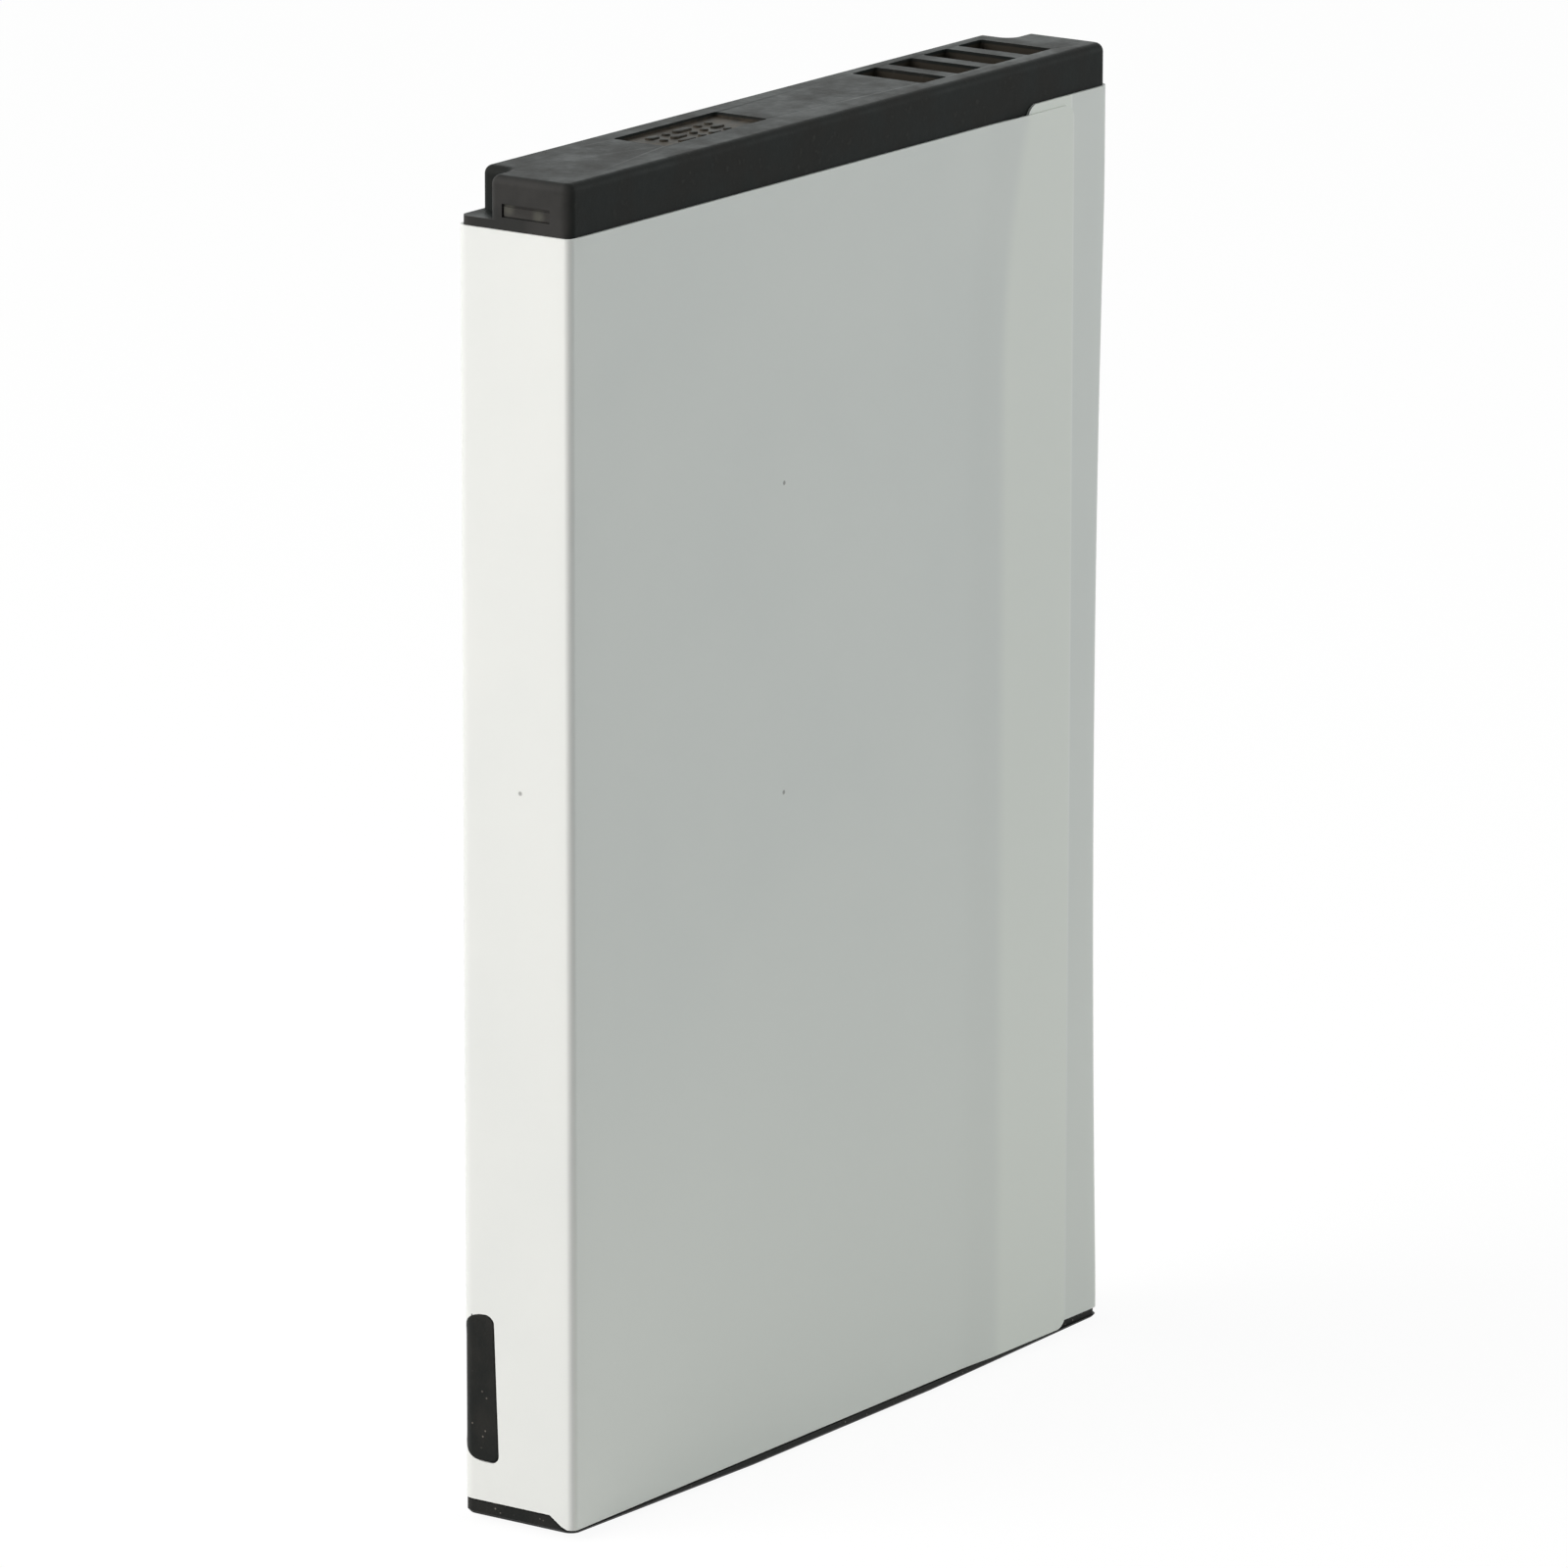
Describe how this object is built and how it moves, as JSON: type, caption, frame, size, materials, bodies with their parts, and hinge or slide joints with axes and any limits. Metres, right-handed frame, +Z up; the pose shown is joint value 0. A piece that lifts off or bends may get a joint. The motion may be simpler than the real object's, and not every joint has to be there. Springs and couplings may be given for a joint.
{
  "type": "handheld computer battery pack",
  "caption": "Flat rechargeable pack with a plain film wrapped round cell and frame, and a black notched end cap with slots over its sunk contacts.",
  "frame": {"origin": "middle of the flat land under the foot, where the pack stands", "axes": "+Z up from the foot to the contact end, +X to the right across the broad front face, +Y from front to rear"},
  "size_m": [0.0416, 0.0063, 0.0608],
  "materials": {
    "black_plastic": "black moulded plastic with a fine spark grain",
    "label_film": "pale satin printed film",
    "can_aluminium": "drawn can, plain",
    "gasket_plastic": "natural insulating plastic",
    "nickel": "nickel, rolled",
    "fibre_sheet": "vulcanised fibre",
    "board_laminate": "green solder mask on glass laminate",
    "chip_resin": "black moulding resin",
    "component_ceramic": "fired ceramic chip",
    "fuse_plastic": "black shrink sleeve",
    "adhesive_tape": "pale double-sided tape",
    "contact_gold": "gold plated"
  },
  "bodies": {
    "root": {"top_cap": "black_plastic", "side_frame": "black_plastic", "label_wrap": "label_film", "cell_can": "can_aluminium", "terminal_gasket": "gasket_plastic", "terminal_rivet": "nickel", "lid_insulator": "fibre_sheet", "protection_board": "board_laminate", "switch_transistor": "chip_resin", "protection_chip": "chip_resin", "sense_resistor": "component_ceramic", "filter_capacitor": "component_ceramic", "thermistor": "component_ceramic", "identity_resistor": "component_ceramic", "positive_strip": "nickel", "negative_strip": "nickel", "thermal_fuse": "fuse_plastic", "fuse_strip": "nickel", "foot_tape": "adhesive_tape", "contact_1": "contact_gold", "contact_2": "contact_gold", "contact_3": "contact_gold", "contact_4": "contact_gold"}
  },
  "joints": []
}
